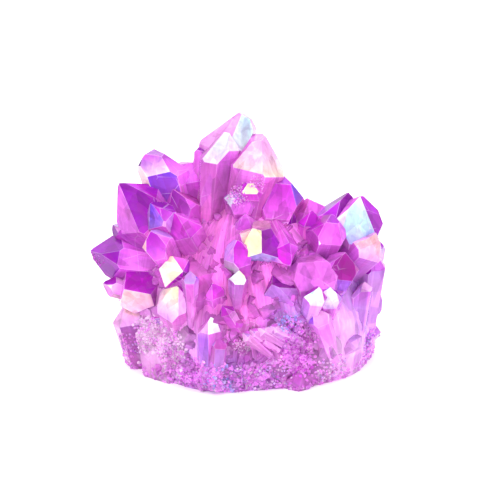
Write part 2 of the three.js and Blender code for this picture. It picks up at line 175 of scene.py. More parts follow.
# Details say what differs on a crystal. "shift" moves its shaft aside under the tip, "caps" says how far
# out each pyramid face lies in radii, and "cuts" lists broken faces by their turn, slope and depth in radii.
Crystal = namedtuple("Crystal", "name tip lean heading radius spin details", defaults=({},))
CRYSTALS = [
    ("spire", (2.2, 6, 59.3), 16, 29, 5.5, 0,
     {"shift": (0, -2.4), "caps": (0, 0.15, 0.3, 0.35, 0.15, 0.02), "cuts": [(60, 18, 0.3)]}),
    ("shoulder", (5.9, 1, 55.4), 13, 26, 6.1, 34,
     {"caps": (0.02, 0.2, 0.4, 0.35, 0.04, 0), "cuts": [(-70, 24, 0.26)]}),
    ("finger", (-1.9, -1, 55.7), 8, 45, 3.9, 30,
     {"shift": (0, -1.2), "caps": (0.12, 0.2, 0.3, 0.3, 0.15, 0), "cuts": [(0, 10, 0.2)]}),
    ("dart", (-6.4, 3, 53), 10, 53, 2.6, 20, {"shift": (0, -0.6)}),
    ("horn", (-19.3, 1, 51.5), 14, 166, 5.0, 12, {"shift": (0, 0.8), "cuts": [(60, 20, 0.3)]}),
    ("broken_top", (-12.3, 3, 48.5), 8, 140, 4.8, 25, {"cuts": [(0, 0, 0.35)]}),
    ("left_blade", (-26.4, -5, 44.4), 39, -157, 5.8, 43, {"caps": (0, 0.3, 0.45, 0.45, 0.3, 0.02)}),
    ("left_ridge", (-19.1, -10, 41.2), 35, -142, 3.8, 0),
    ("bud_left", (-28.5, -4, 34.1), 49, 176, 1.9, 0),
    ("far_left", (-33.6, -6, 28.3), 74, -162, 4.8, 0),
    ("sliver", (-18.9, -14, 36), 35, -128, 3.6, 10),
    ("front_plate", (-11.6, -19, 28.3), 67, -71, 3.4, 56, {"caps": (0.1, 0.1, 0.1, 0.1, 0.1, 0.1)}),
    ("narrow", (-9.9, -20.5, 29), 10, -90, 1.7, 0),
    ("pale_plate", (-12.6, -20, 24.9), 36, -100, 3.8, 23,
     {"shift": (0, -1), "caps": (0.2, 0.4, 0.4, 0.3, 0.2, 0)}),
    ("peach_block", (-25.4, -13, 21.6), 68, -120, 5.0, 8, {"caps": (0, 0.5, 0.04, 0.5, 0.02, 0.5)}),
    ("clear_bud", (-30.8, -8, 21.2), 65, -167, 2.0, 0),
    ("steep_left", (-14.3, -5, 43), 22, -149, 4.4, 0),
    ("mauve", (-13.9, -10, 39), 29, -150, 3.8, 0),
    ("druse_stub", (1, -8, 44.6), 32, -90, 3.8, 0, {"cuts": [(0, 0, 0.6)]}),
    ("cream_stub", (3.4, -10, 45), 56, -87, 2.5, 0, {"cuts": [(0, 0, 0.6)]}),
    ("violet_dome", (11, -4, 46.1), 21, -63, 5.7, 0, {"cuts": [(0, 0, 0.3)]}),
    ("saddle", (18.3, 2, 40), 16, 29, 5.4, 0, {"cuts": [(90, 12, 0.35)]}),
    ("magenta_dome", (22.2, -11, 38.6), 29, -63, 4.6, 0, {"cuts": [(0, 0, 0.3)]}),
    ("magenta_tip", (17.3, -7, 38.6), 9, -61, 2.5, 0),
    ("right_head", (28.1, -6.6, 41.7), 22, -80, 5.4, 8, {"caps": (0, 0.05, 0.4, 0.5, 0.4, 0.42)}),
    ("right_ridge", (25.8, -2, 41.3), 14, 6, 5.0, 10, {"shift": (0, -2)}),
    ("right_lower", (31.8, -9, 33.8), 39, -36, 4.2, 0),
    ("right_penta", (24.6, -14, 30.9), 30, -61, 3.6, 0),
    ("orange_strip", (1, -14, 35.3), 55, -138, 2.6, 53),
    ("cream_point", (5.7, -19, 32.6), 90, -90, 3.8, 0,
     {"caps": (0, 0.5, 0.04, 0.5, 0.02, 0.5), "length": 14}),
    ("magenta_slope", (12.1, -17, 28.8), 114, -70, 3.2, 0, {"length": 14}),
    ("centre_tip", (0.3, -16, 34.6), 19, -102, 3.4, 30),
    ("glint", (0.8, -19, 28.6), 9, -61, 2.1, 0),
    ("dark_cap", (8, -18.5, 25), 56, -112, 4.6, 4),
    ("glint_right", (18.5, -19, 24.6), 22, -59, 2.5, 0),
    ("glint_far", (21.1, -17, 23.8), 28, -83, 2.9, 0),
    ("rose_tip", (-5.1, -18, 25.2), 15, -125, 2.5, 30),
    ("tile", (-3, -21, 21), 30, -158, 1.7, 0),
    ("lavender_low", (-5.5, -20.5, 18.1), 4, -65, 2.7, 30, {"length": 14}),
    ("rose_low", (-3.3, -20.5, 14.2), 8, 45, 2.1, 0, {"length": 13}),
    ("drusy_slab", (-16.8, -5.8, 18.3), 13, 117, 7.2, 34, {"length": 24, "cuts": [(0, 0, 0.55)]}),
    ("left_wall", (-24.8, -6, 17.1), 11, -178, 4.5, 10, {"length": 25}),
    ("neck_centre", (-7.8, -15, 31.6), 16, -78, 7.4, 18, {"cuts": [(0, 8, 0.5)]}),
    ("neck_right", (16.3, -14, 32.2), 20, -99, 6.6, 8, {"cuts": [(0, -10, 0.45)]}),
    ("pink_blade", (17.7, -18, 19.1), 19, -170, 2.6, 30, {"length": 14}),
    ("back_tower", (-6, 13, 50), 20, 105, 5, 10),
    ("back_left", (-22, 12, 41), 36, 150, 5.4, 20),
    ("back_right", (14, 13, 36.5), 34, 62, 5.2, 5),
    ("back_middle", (3, 24, 33), 58, 88, 5, 0),
    ("back_corner", (27, 15, 30), 52, 38, 5, 15),
    ("back_low", (-16, 23, 27), 62, 122, 4.6, 25),
    ("side_left", (-32, 7, 22), 74, 168, 4.6, 10),
    ("wall_back", (32, 9, 26), 3, 10, 4.4, 10, {"shift": (0, -1.5), "length": 34}),
    ("wall_middle", (32.7, 2, 29), 2, 0, 3.6, 0, {"shift": (0, -1.6), "length": 34}),
    ("wall_front", (32.1, -4, 27), 3, -20, 3.8, 20, {"shift": (-1, -1.2), "length": 32}),
    ("wall_corner", (29.6, -9, 22), 4, -40, 3.6, 12, {"shift": (-1.5, -1), "length": 30}),
]

# ---- druse and milk

# Druse: centre, reach, crumbs to the square millimetre, their widths, and the tones of their film.
DRUSE = [
    ((-20.0, -13.2, 10.5), 5.5, 5.0, (0.5, 1.1), "bbkb"),
    ((-15.5, -16.8, 9.0), 5.5, 5.0, (0.5, 1.1), "bbkb"),
    ((-13.8, -18.2, 5.2), 4.5, 5.0, (0.6, 1.3), "kbkok"),
    ((-9.0, -20.8, 3.6), 5.0, 5.0, (0.6, 1.3), "kokoko"),
    ((-4.0, -23.0, 3.2), 5.0, 5.0, (0.6, 1.3), "kokoskl"),
    ((3.5, -21.8, 2.5), 5.5, 4.0, (0.6, 1.3), "kbkoko"),
    ((11.6, -19.3, 16.0), 3.2, 5.0, (0.5, 1.0), "skksol"),
    ((14.5, -19.3, 12.0), 4.5, 5.0, (0.5, 1.2), "kokokm"),
    ((14.0, -19.8, 7.0), 4.5, 5.0, (0.5, 1.2), "kokokm"),
    ((9.0, -21.2, 4.5), 4.5, 3.0, (0.35, 0.7), "kbkl"),
    ((0.6, -7.3, 42.2), 3.2, 6.0, (0.25, 0.6), "kblkovb"),
    ((4.8, -7.9, 45.4), 2.2, 5.0, (0.25, 0.5), "kblko"),
    ((1.6, -21.6, 11.5), 2.4, 5.5, (0.3, 0.6), "bbbkb"),
    ((32.0, -6.4, 4.5), 5.0, 3.0, (0.45, 1.0), "klovk"),
    ((-32.4, -5.7, 26.0), 3.0, 3.0, (0.3, 0.6), "vmdvm"),
    ((22.0, -17.3, 2.8), 5.5, 3.0, (0.45, 1.0), "kblk"),
    ((-25.0, -10.0, 6.0), 4.0, 3.0, (0.45, 1.0), "kovl"),
    ((0.0, 22.0, 8.0), 8.0, 2.0, (0.4, 0.9), "lkobvm"),
    ((-24.0, 12.0, 10.0), 6.0, 2.0, (0.4, 0.9), "lkobvm"),
]
# The same all round the foot, up to a height and on faces that don't look down more than this.
FOOT_BAND = {"height": 3.2, "crowding": 2.6, "widths": (0.6, 1.4), "tones": "okokkkb"}
LOOKS_DOWN = -0.5
# A patch is full out to the first share of its reach, and thins out over the second.
DRUSE_EDGE = (0.55, 0.45)
# A crumb turns aside by this scatter, its tip and corners lie this many half widths out, and its middle
# lies no lower than this.
DRUSE_SCATTER = 0.3
DRUSE_RISE = (0.4, 0.95)
DRUSE_ROUNDNESS = (0.75, 1.1)
DRUSE_LOWEST = 0.15
# How clear a crumb is, how bright its facets are beside their tone, varied at random as a painted sparkle,
# the habit that the material reads, and the share of facets given a painted glint, with its tone.
DRUSE_CLEAR = (0.0, 0.15)
DRUSE_BRIGHTNESS = (1.05, 1.45)
DRUSE_HABIT = (0.1, 0.8, 0.0)
PAINTED_GLINT_SHARE = 0.03
PAINTED_GLINT_TONE = "b"

# The milk within, by colour: the centre and reach of each patch. Orchid lies everywhere else, this strong
# beside the middle of a patch.
MILK_GROUND = 0.25
MILK = {
    "pale": [
        ((-22, -8, 14), 9), ((-14, -16, 10), 7), ((20, -15, 12), 6), ((26, -13, 8), 7),
        ((2, 4, 52), 8),
    ],
    "lavender": [
        ((-8, -21, 5), 7), ((2, -22, 3), 6), ((12, -19, 16), 5), ((29, -9, 12), 9), ((33, 2, 16), 10),
        ((20, 16, 14), 12),
    ],
    "rose": [
        ((-4, -18, 22), 8), ((4, -16, 24), 7), ((3, -21, 12), 6), ((10, -8, 40), 8), ((-4, -8, 40), 8),
        ((-14, -10, 34), 8), ((-20, 16, 14), 12),
    ],
    "orchid": [((14, -19, 8), 6), ((17, -14, 30), 7), ((0, 18, 20), 18)],
    "deep": [((24, -10, 33), 6), ((-28, -6, 26), 7), ((-20, -2, 44), 7)],
}

# ---- film and painted light on each crystal

# Tones that a plain crystal's tip and side faces are drawn from, then a small one's on the mound.
FILL_TONES = "o m ko o r v m d dv vm mo lo l b ro io km bk r".split()
FILL_SIDES = "o k r o m mo v lo ko ro vm".split()
SMALL_TONES = "o r o m k r o v m lo o bo".split()

# How a crystal is coated. "film" gives its pyramid faces' tones, from the front face round by the right:
# one letter for an even film, two where it drifts from the tip down. Each tone is the film's colour, with a
# painted reflection on the pale facets and painted shade on the darkest. "sides" does the same for the prism
# faces and "cut" for a broken end. Empty ones are drawn from the plain tones, and an empty cut is plain too.
# "clear" is how far one sees through it and "film_share" how much of its film is left, both 0 to 1.
Coat = namedtuple("Coat", "film sides cut clear film_share", defaults=("", "", "", None, 1))
PLAIN_CUT = "k"
ROOT_TONE = "o"
FILM_AND_PAINTED_LIGHT = {
    "spire": ("cw bw o v k b", "b b o o k b", "w", 0.86, 0.95),
    "shoulder": ("by w o o rk by", "wr b o o vk lk", "km", 0.7, 0.9),
    "finger": ("wl lb o v b cw", "ko v o o v bo", "w", 0.85, 0.85),
    "dart": ("d d d d d d", "lk l o o l lk", "", 0.8),
    "horn": ("vw dk k o o n", "z vk o o o y", "d", 0.2),
    "broken_top": ("ko k o o o k", "m m o o o o", "b"),
    "left_blade": ("dv vm m o o k", "o o o o o ko"),
    "left_ridge": ("ul vk v o o l", "k l o o o l"),
    "steep_left": ("do om r o o o", "m m o o o o"),
    "mauve": ("mo om o o o m", "ok o o o o o"),
    "bud_left": ("d bk l v d d", "m mv o o d d", "", 0.85),
    "far_left": ("d dv d o o d", "vm vk o o o v", "", 0.3),
    "sliver": ("vk km lv o p p", "ok ko o o b b"),
    "front_plate": ("d v rk yp yp m", "o o o o m o"),
    "narrow": ("li u u o o m", "io ul o o l l"),
    "pale_plate": ("bl m m b yb yl", "r r o o o r"),
    "peach_block": ("pb m mv o kb b", "b m o o b p"),
    "clear_bud": ("bk yb vm o b b", "bp wb b o b b", "", 0.9),
    "left_wall": ("pl b b o b b", "lm b o o b b"),
    "drusy_slab": ("b b o o b b", "bk o o o b b", "b"),
    "lavender_low": ("wl k o o kb bl", "k o o o b bu"),
    "rose_low": ("kr r o o r l", "rl rk o o o lr"),
    "tile": ("mr kr m o o d", "rm kb o o o r"),
    "rose_tip": ("mr r o o d ok",),
    "neck_centre": ("ro ro o o o m", "", "r", None, 0.5),
    "neck_right": ("k o ok o o k", "", "k", None, 0.6),
    "centre_tip": ("mo k o o l lk", "vm o o o o kw"),
    "glint": ("yw v o o w w", "ll lo o o o vl"),
    "orange_strip": ("py p p o k k",),
    "fill_15": ("o ob o o o o",),
    "cream_point": ("il o dv o y o", "o o vk mp p o"),
    "magenta_slope": ("k m vm mk m lv", "o o o km vm o"),
    "violet_dome": ("mk ur o o o v", "k r o o o o", "v"),
    "cream_stub": ("mk mk k k m m", "", "y"),
    "druse_stub": ("ok o o o l wl", "", "l"),
    "saddle": ("kr k o o o rk", "", "b"),
    "magenta_tip": ("md m o o m mv", "mr o o o o vm"),
    "magenta_dome": ("ok k o o m mo", "ko k o o o vm", "vm"),
    "right_ridge": ("dn l o o dl vd", "", "", 0.3),
    "right_head": ("cs v o o kb w", "k m o o o b"),
    "right_lower": ("pk v o o b pk", "lk v o o o k"),
    "right_penta": ("g gr o o k o", "vu o o o o o"),
    "dark_cap": ("lk lo dv v d m",),
    "glint_right": ("wk m o o mv cw", "ub m o o o kl"),
    "glint_far": ("wv l v o u w", "vk vk o o o o"),
    "pink_blade": ("bk b o o k uk", "bk bk o o o vk"),
    "sheaf": ("b l k b w l", "lb b k o l b"),
    "wall_back": ("", "l l b o l l"),
    "wall_middle": ("", "lb lb b o l l"),
    "wall_front": ("kl l b o l m", "lb lv b o l b"),
    "wall_corner": ("bl l b o b lb", "ml l b o b b"),
    "skirt_17": ("bw bk k o bw b",),
    "skirt_18": ("vk o k o o l", "lw o o o o u"),
    "skirt_19": ("br r o o r b",),
    "skirt_20": ("wb b o o b w",),
    "skirt_22": ("ok k om o o m",),
    "skirt_23": ("b b b b b b", "lb bl lb b b lb"),
    "skirt_24": ("lb l b b l b", "lb bl lb b b lb"),
}


def linear(hex_colour):
    """An sRGB hex colour as linear red, green, blue and alpha."""
    shares = [int(hex_colour[i : i + 2], 16) / 255 for i in (1, 3, 5)]
    return (*[s / 12.92 if s <= 0.04045 else ((s + 0.055) / 1.055) ** 2.4 for s in shares], 1.0)


def tone(letter):
    return np.array(linear(TONES[letter])[:3])


class Stream:
    """The solid's own repeatable stream of numbers from 0 to 1."""

    def __init__(self, seed):
        self.state = seed

    def draw(self):
        self.state = (self.state * STREAM_FACTOR + STREAM_STEP) % STREAM_SPAN
        return self.state / STREAM_SPAN

    def between(self, low_high):
        low, high = low_high
        return low + (high - low) * self.draw()


def unit(vector):
    return np.asarray(vector, float) / np.linalg.norm(vector)


def direction(lean, heading):
    lean, heading = math.radians(lean), math.radians(heading)
    return np.array((math.sin(lean) * math.cos(heading), math.sin(lean) * math.sin(heading), math.cos(lean)))


def placed(name, data):
    """A new object in the scene."""
    made = bpy.data.objects.new(name, data)
    bpy.context.scene.collection.objects.link(made)
    return made


def places_of(mesh):
    return np.array([point.co for point in mesh.vertices])


def outline_table():
    """Angle and reach along a smooth closed curve through the outline's points, in order of angle. It is
    a centripetal curve, whose steps go by the square root of the points' distances."""
    points = [np.array(p, float) for p in BASE_OUTLINE]
    count = len(points)
    table = []
    for step in range(OUTLINE_STEPS + 1):
        along = count * step / OUTLINE_STEPS
        first = int(along)
        weight = along - first
        p = [points[(first + i - 1) % count] for i in range(4)]
        gaps = [np.sum((p[i] - p[i + 1]) ** 2) ** 0.25 for i in range(3)]
        start = (p[1] - p[0]) / gaps[0] - (p[2] - p[0]) / (gaps[0] + gaps[1]) + (p[2] - p[1]) / gaps[1]
        end = (p[2] - p[1]) / gaps[1] - (p[3] - p[1]) / (gaps[1] + gaps[2]) + (p[3] - p[2]) / gaps[2]
        start, end = start * gaps[1], end * gaps[1]
        place = (
            p[1]
            + start * weight
            + (-3 * p[1] + 3 * p[2] - 2 * start - end) * weight**2
            + (2 * p[1] - 2 * p[2] + start + end) * weight**3
        )
        table.append((math.atan2(place[1], place[0]), math.hypot(*place)))
    return sorted(table)


OUTLINE = outline_table()
OUTLINE_ANGLES = np.array([angle for angle, _ in OUTLINE])
OUTLINE_REACHES = np.array([reach for _, reach in OUTLINE])


def outline_reach(angle):
    angle = math.atan2(math.sin(angle), math.cos(angle))
    return OUTLINE_REACHES[np.searchsorted(OUTLINE_ANGLES, angle) % len(OUTLINE)]


def fill_crystals(stream):
    """Plain crystals on a dome round the heart, spread evenly by the golden angle."""
    named = [(np.array(tip, float), radius) for _, tip, _, _, radius, *_ in CRYSTALS]
    made = []
    golden = math.pi * (3 - math.sqrt(5))
    for i in range(FILL_COUNT):
        rise = 1 - (1 + FILL_DIP) * (i + 0.5) / FILL_COUNT
        around = i * golden + FILL_SCATTER_TURN * stream.draw()
        level = math.sqrt(1 - rise * rise)
        way = np.array((level * math.cos(around), level * math.sin(around), rise))
        toward = ("left" if way[0] < 0 else "right", "front" if way[1] < 0 else "back", "up")
        reach = np.array([FILL_REACH[side] for side in toward], float)
        is_front = way[1] < -FRONT_FILL_FROM
        share = stream.between(FILL_HEIGHT_SHARE) * (FRONT_FILL_SHARE if is_front else 1)
        tip = HEART + share * reach * way
        outward = unit((unit(way / reach) + way) / 2)
        lean = math.degrees(math.acos(outward[2])) + FILL_SCATTER_ANGLE * (stream.draw() - 0.5)
        heading = math.degrees(math.atan2(outward[1], outward[0]))
        heading += FILL_SCATTER_ANGLE * (stream.draw() - 0.5)
        radius = stream.between(FILL_RADIUS) * (FRONT_FILL_RADIUS_SHARE if is_front else 1)
        spin = SIXTH_TURN * stream.draw()
        if all(np.linalg.norm(tip - place) >= CROWDING * (wide + radius) for place, wide in named):
            named.append((tip, radius))
            made.append(Crystal(f"fill_{i}", tip, lean, heading, radius, spin))
    return made


def skirt_crystals(stream):
    """Short crystals round the foot of the matrix."""
    made = []
    for i in range(SKIRT_COUNT):
        around = (i + SKIRT_SCATTER_TURN * stream.draw()) * 2 * math.pi / SKIRT_COUNT
        height = stream.between(SKIRT_HEIGHT)
        reach = outline_reach(around) + stream.between(SKIRT_PROUD)
        heading = math.degrees(around) + SKIRT_SCATTER_ANGLE * (stream.draw() - 0.5)
        lean = stream.between(SKIRT_LEAN)
        radius = stream.between(SKIRT_RADIUS)
        spin = SIXTH_TURN * stream.draw()
        tip = (reach * math.cos(around), reach * math.sin(around), height)
        made.append(Crystal(f"skirt_{i}", tip, lean, heading, radius, spin, {"rough": SKIRT_ROUGH}))
    return made


def sheaf_crystals(stream):
    """A sheaf of thin prisms lying side by side across the front of the foot."""
    made = []
    for i in range(SHEAF_COUNT):
        tip = [SHEAF_FIRST[a] + i * SHEAF_STEP[a] + SHEAF_SCATTER * stream.draw() for a in range(3)]
        lean = SHEAF_LEAN[0] + i * SHEAF_LEAN[1]
        spin = SIXTH_TURN * stream.draw()
        details = {"length": SHEAF_LENGTH}
        made.append(Crystal("sheaf", tip, lean, SHEAF_HEADING, SHEAF_RADIUS, spin, details))
    return made


def mound_share(height):
    """The matrix's width at this height, as a share of its width at the ground."""
    shares, heights = zip(*BASE_PROFILE)
    return float(np.interp(height, heights, shares))


def mound_crystals(layer, chance):
    """Small crystals all over the mound, seen where the large ones leave room."""
    sizes = MOUND_LAYERS[layer]
    details = {"length": sizes.length, "rough": sizes.rough}
    made = []
    for i in range(sizes.count):
        around, height = chance.uniform(0, 2 * math.pi), chance.uniform(*MOUND_HEIGHT)
        reach = mound_share(height) * outline_reach(around)
        slope = (mound_share(height + 1) - mound_share(height - 1)) / 2 * outline_reach(around)
        out = unit((math.cos(around), math.sin(around), -slope))
        place = np.array((reach * math.cos(around), reach * math.sin(around), height))
        tip = place + chance.uniform(*sizes.proud) * out
        lean = math.degrees(math.acos(out[2])) + chance.uniform(-sizes.scatter, sizes.scatter)
        heading = math.degrees(around) + chance.uniform(-sizes.scatter, sizes.scatter)
        radius = chance.uniform(*sizes.radius)
        spin = chance.uniform(0, SIXTH_TURN)
        gone = [layers for centre, far, layers in MOUND_BARE if np.linalg.norm(place - centre) < far]
        if not any(layer in layers for layers in gone):
            made.append(Crystal(f"{layer}_{i}", tip, lean, heading, radius, spin, details))
    return made


# ---- faceted solids

CAP, PRISM, CUT, ROOT, EDGE = range(5)
LUMINANCE = np.array((0.2126, 0.7152, 0.0722))
# Planes nearer to parallel than this have no corner, a corner may lie this far outside the others,
# corners nearer than this are one, and a corner lies on a plane that is as near as TOUCHING.
PARALLEL = 1e-6
OUTSIDE = 1e-5
SAME_CORNER = 0.008
TOUCHING = 0.02
# Crystals wider than this carry a few chips at sharp corners, near the tip and clear of the ground.
CHIPPED_FROM = 2.2
CHIPS = (1, 4)
CHIP_DEPTH = (0.08, 0.35)
CHIP_SLANT = 0.2
CHIP_SHARPNESS = 0.88
CHIP_TONES = "bkow"
CHIPPED_ABOVE = 1.5
CHIPPED_RADII = 2.2
# An edge is chamfered where it is at least this many widths long, and paler by this share than the brighter
# facet beside it, as a painted highlight. A chamfered edge of a small crystal is this wide.
SHORTEST_EDGE = 4
EDGE_PAINTED_HIGHLIGHT = 0.22
SMALL_EDGE = 0.05
# How much of the film each kind of face carries, 0 to 1. A tone darker than DARK_BELOW, a painted shade,
# covers more.
COVER = {CAP: 1.0, PRISM: 0.62, CUT: 0.9, EDGE: 0.8, ROOT: 0.0}
DARK_BELOW = 0.12
DARK_COVER = 0.8
# How clear a plain crystal is, from where one is glassy, and how much a bright film tone, a painted
# reflection, hides on a glassy and on a milky one. The film's brightness counts this many times over.
PLAIN_CLEAR = (0.45, 0.8)
GLASSY_FROM = 0.84
GLASSY_HIDING = 0.64
MILKY_HIDING = 0.85
PAINTED_REFLECTION_GAIN = 1.15
# A black film lets the first share of light through, and a brighter one more by the second.
DEEP_CLEAR = (0.35, 2)
# Strength of the growth lines on prism faces and elsewhere.
RULED = 1.0
SMOOTH = 0.15
CENTIMETRE = 10
# The film runs out over this many radii down the crystal.
FILM_RADII = 4
# Repeats of the grain to the millimetre, across the crystal twice and then along it, and where it starts.
GRAIN = np.array((0.55, 0.55, 0.1))
GRAIN_START = (0, 40)
# The matrix: its mesh, how far it lies under the mound's nominal face, and its lumps and flutes. Both run
# round the mound in sets. A set of lumps has its number, slant and start, and those of flutes are drawn.
MATRIX_RINGS = 48
MATRIX_AROUND = 420
MATRIX_SUNK = 0.5
MATRIX_GRAIN = 14.0
MATRIX_TONES = "or"
MATRIX_CLEAR = 0.3
MATRIX_HABIT = (3.0, 0.0, 4.0)
LUMPS = ((9, 0.9, 0), (17, -1.7, 1.3))
LUMP_HEIGHT = 0.12
FLUTE_SETS = 4
FLUTES = (40, 130)
FLUTE_START = (0, 6.28)
FLUTE_SLANT = (-0.06, 0.06)
FLUTE_DEPTH = 0.16
# Gives the middle of the matrix's top a direction outward.
NEARLY_NOTHING = 0.001
TRIPLES = {}


def triples(count):
    """Every three of so many planes."""
    if count not in TRIPLES:
        TRIPLES[count] = np.array(list(itertools.combinations(range(count), 3))).T
    return TRIPLES[count]


def normals_and_distances(planes):
    return np.array([plane[0] for plane in planes]), np.array([plane[1] for plane in planes])


def corners_of(normals, distances):
    """The corners of the convex solid inside all planes."""
    i, j, k = triples(len(normals))
    a, b, c = normals[i], normals[j], normals[k]
    across = np.cross(b, c)
    share = np.sum(a * across, axis=1)
    meet = np.abs(share) > PARALLEL
    a, b, c, across, share = a[meet], b[meet], c[meet], across[meet], share[meet]
    points = (
        distances[i][meet, None] * across
        + distances[j][meet, None] * np.cross(c, a)
        + distances[k][meet, None] * np.cross(a, b)
    ) / share[:, None]
    points = points[(points @ normals.T <= distances + OUTSIDE).all(axis=1)]
    kept = []
    for point in points:
        if all(np.abs(point - other).max() > SAME_CORNER for other in kept):
            kept.append(point)
    return np.array(kept)


def turned(first, second, angle):
    """The direction this far round from the first to the second."""
    return first * math.cos(angle) + second * math.sin(angle)


def plane(normal, distance, kind, letters):
    """A face's plane, the kind of face, and its upper and lower film tone."""
    return normal, distance, kind, tone(letters[0]), tone(letters[-1])


def crystal_planes(crystal, stream, chance):
    """The planes of one crystal, its own frame, its tip and how it is coated."""
    name, tip, lean, heading, radius, spin, details = crystal
    tip = np.array(tip, float)
    axis = direction(lean, heading)
    forward = np.array((0.0, -1.0, -1.0))
    forward = unit(forward - forward.dot(axis) * axis)
    right = np.cross(axis, forward)
    coat = Coat(*FILM_AND_PAINTED_LIGHT.get(name, ()))
    small = name.split("_")[0] in MOUND_LAYERS
    tip_tones, side_tones = (SMALL_TONES, SMALL_TONES) if small else (FILL_TONES, FILL_SIDES)
    film = coat.film.split() or [chance.choice(tip_tones) for _ in range(SIDES)]
    sides = coat.sides.split() or [chance.choice(side_tones) for _ in range(SIDES)]
    broken = coat.cut or PLAIN_CUT
    shift = details.get("shift", (0, 0))
    length = details.get("length") or max(ROOT_SHARE * np.linalg.norm(tip - HEART), LEAST_LENGTH * radius)
    cap_angle, taper = math.radians(PYRAMID_NORMAL_ANGLE), math.radians(ROOT_TAPER_ANGLE)
    planes = []
    for k in range(SIDES):
        around = math.radians(spin) + k * 2 * math.pi / SIDES
        outward = turned(forward, right, around)
        centred = turned(*shift, around)
        side = radius * (1 + SIDE_VARIATION * (2 * stream.draw() - 1)) + centred
        normal = turned(outward, -axis, taper)
        on_side = tip + outward * side - axis * radius * math.tan(cap_angle)
        planes.append(plane(normal, normal.dot(on_side), PRISM, sides[k]))
        growth = MAJOR_FACE_VARIATION * stream.draw() if k % 2 == 0 else stream.between(MINOR_FACE_OFFSET)
        offset = radius * (details["caps"][k] if "caps" in details else growth)
        normal = turned(axis, outward, cap_angle)
        planes.append(plane(normal, normal.dot(tip) + offset, CAP, film[k]))
    planes.append(plane(-axis, -axis.dot(tip) + length, ROOT, ROOT_TONE))
    corners = corners_of(*normals_and_distances(planes))
    apex = corners[np.argmax(corners @ axis)]
    for around, slope, depth in details.get("cuts", ()):
        outward = turned(forward, right, math.radians(around))
        normal = turned(axis, outward, math.radians(slope))
        planes.append(plane(normal, normal.dot(apex) - depth * radius, CUT, broken))
    correction = tip - apex
    planes = [(n, d + n.dot(correction), kind, *tones) for n, d, kind, *tones in planes]
    return planes, np.array((forward, right, axis)), tip, coat


def edge_pairs(normals, distances, corners):
    """Pairs of planes that share an edge, with that edge's length and one end."""
    touching = np.abs(corners @ normals.T - distances) < TOUCHING
    for i in range(len(normals)):
        for j in range(i + 1, len(normals)):
            shared = corners[touching[:, i] & touching[:, j]]
            if len(shared) >= 2:
                yield i, j, np.linalg.norm(shared[0] - shared[-1]), shared[0]


def hull(corners):
    """A closed bmesh round the corners."""
    solid = bmesh.new()
    for corner in corners:
        solid.verts.new(corner)
    bmesh.ops.convex_hull(solid, input=solid.verts)
    loose = [v for v in solid.verts if not v.link_faces]
    bmesh.ops.delete(solid, geom=loose, context="VERTS")
    solid.normal_update()
    return solid


def write_growth(mesh, upper, lower, habit, grain):
    """Keeps what the material reads at each face corner. Upper and lower are the facet's film tones, which
    carry its painted reflections and painted shade, with how clear the facet is and how ruled with growth
    lines beside them. Habit holds the way down from the tip in centimetres, the film's cover and the share
    of its reach.
    Grain is the place in the crystal's frame."""
    for label, kind, field, values in (
        ("film_upper", "FLOAT_COLOR", "color", upper),
        ("film_lower", "FLOAT_COLOR", "color", lower),
        ("habit", "FLOAT_VECTOR", "vector", habit),
        ("grain", "FLOAT_VECTOR", "vector", grain),
    ):
        data = np.array(values, np.float32)
        mesh.attributes.new(label, kind, "CORNER").data.foreach_set(field, data.ravel())


def write_mesh(name, solid, growth_at):
    """An object from a bmesh, with the growth that growth_at gives for a face and a place on it."""
    mesh = bpy.data.meshes.new(name)
    solid.to_mesh(mesh)
    solid.free()
    mesh.update()
    growth = []
    for polygon in mesh.polygons:
        for corner in polygon.loop_indices:
            place = np.array(mesh.vertices[mesh.loops[corner].vertex_index].co)
            growth.append(growth_at(polygon.index, place))
    write_growth(mesh, *zip(*growth))
    return bpy.data.objects.new(name, mesh)


def add_chips(planes, tip, axis, radius, chance):
    """Breaks small planes off sharp corners near the tip."""
    normals, distances = normals_and_distances(planes)
    corners = corners_of(normals, distances)
    for _ in range(chance.randint(*CHIPS)):
        corner = corners[chance.randrange(len(corners))]
        slant = np.array([chance.uniform(-CHIP_SLANT, CHIP_SLANT) for _ in range(3)])
        meeting = np.abs(normals @ corner - distances) < TOUCHING
        normal = unit(unit(normals[meeting].sum(axis=0)) + slant)
        depth = chance.uniform(*CHIP_DEPTH)
        broken = chance.choice(CHIP_TONES)
        sharp = (normals[meeting] @ normal).max() < CHIP_SHARPNESS
        if sharp and corner[2] > CHIPPED_ABOVE and (tip - corner).dot(axis) < CHIPPED_RADII * radius:
            planes.append(plane(normal, normal.dot(corner) - depth, CUT, broken))


def add_highlit_chamfers(planes, width):
    """Chamfers the edges between facets and paints each a highlight, paler than the brighter facet beside
    it.
    """
    normals, distances = normals_and_distances(planes)
    corners = corners_of(normals, distances)
    for i, j, length, place in edge_pairs(normals, distances, corners):
        if ROOT in (planes[i][2], planes[j][2]) or length < SHORTEST_EDGE * width:
            continue
        middle = unit(normals[i] + normals[j])
        half_turn = math.acos(max(-1.0, min(1.0, normals[i].dot(normals[j])))) / 2
        depth = 0.5 * width * math.tan(half_turn)
        brighter = planes[i if planes[i][3].sum() > planes[j][3].sum() else j]
        # Painted highlight: the chamfer takes the brighter facet's tones, mixed towards white.
        upper, lower = ((1 - EDGE_PAINTED_HIGHLIGHT) * shade + EDGE_PAINTED_HIGHLIGHT * tone("w") for shade in brighter[3:])
        planes.append((middle, middle.dot(place) - depth, EDGE, upper, lower))


def owner(face, normals, distances):
    """The plane that a face of the hull lies on."""
    off = np.abs(normals @ np.array(face.calc_center_median()) - distances)
    return int(np.argmax(normals @ np.array(face.normal) - off))


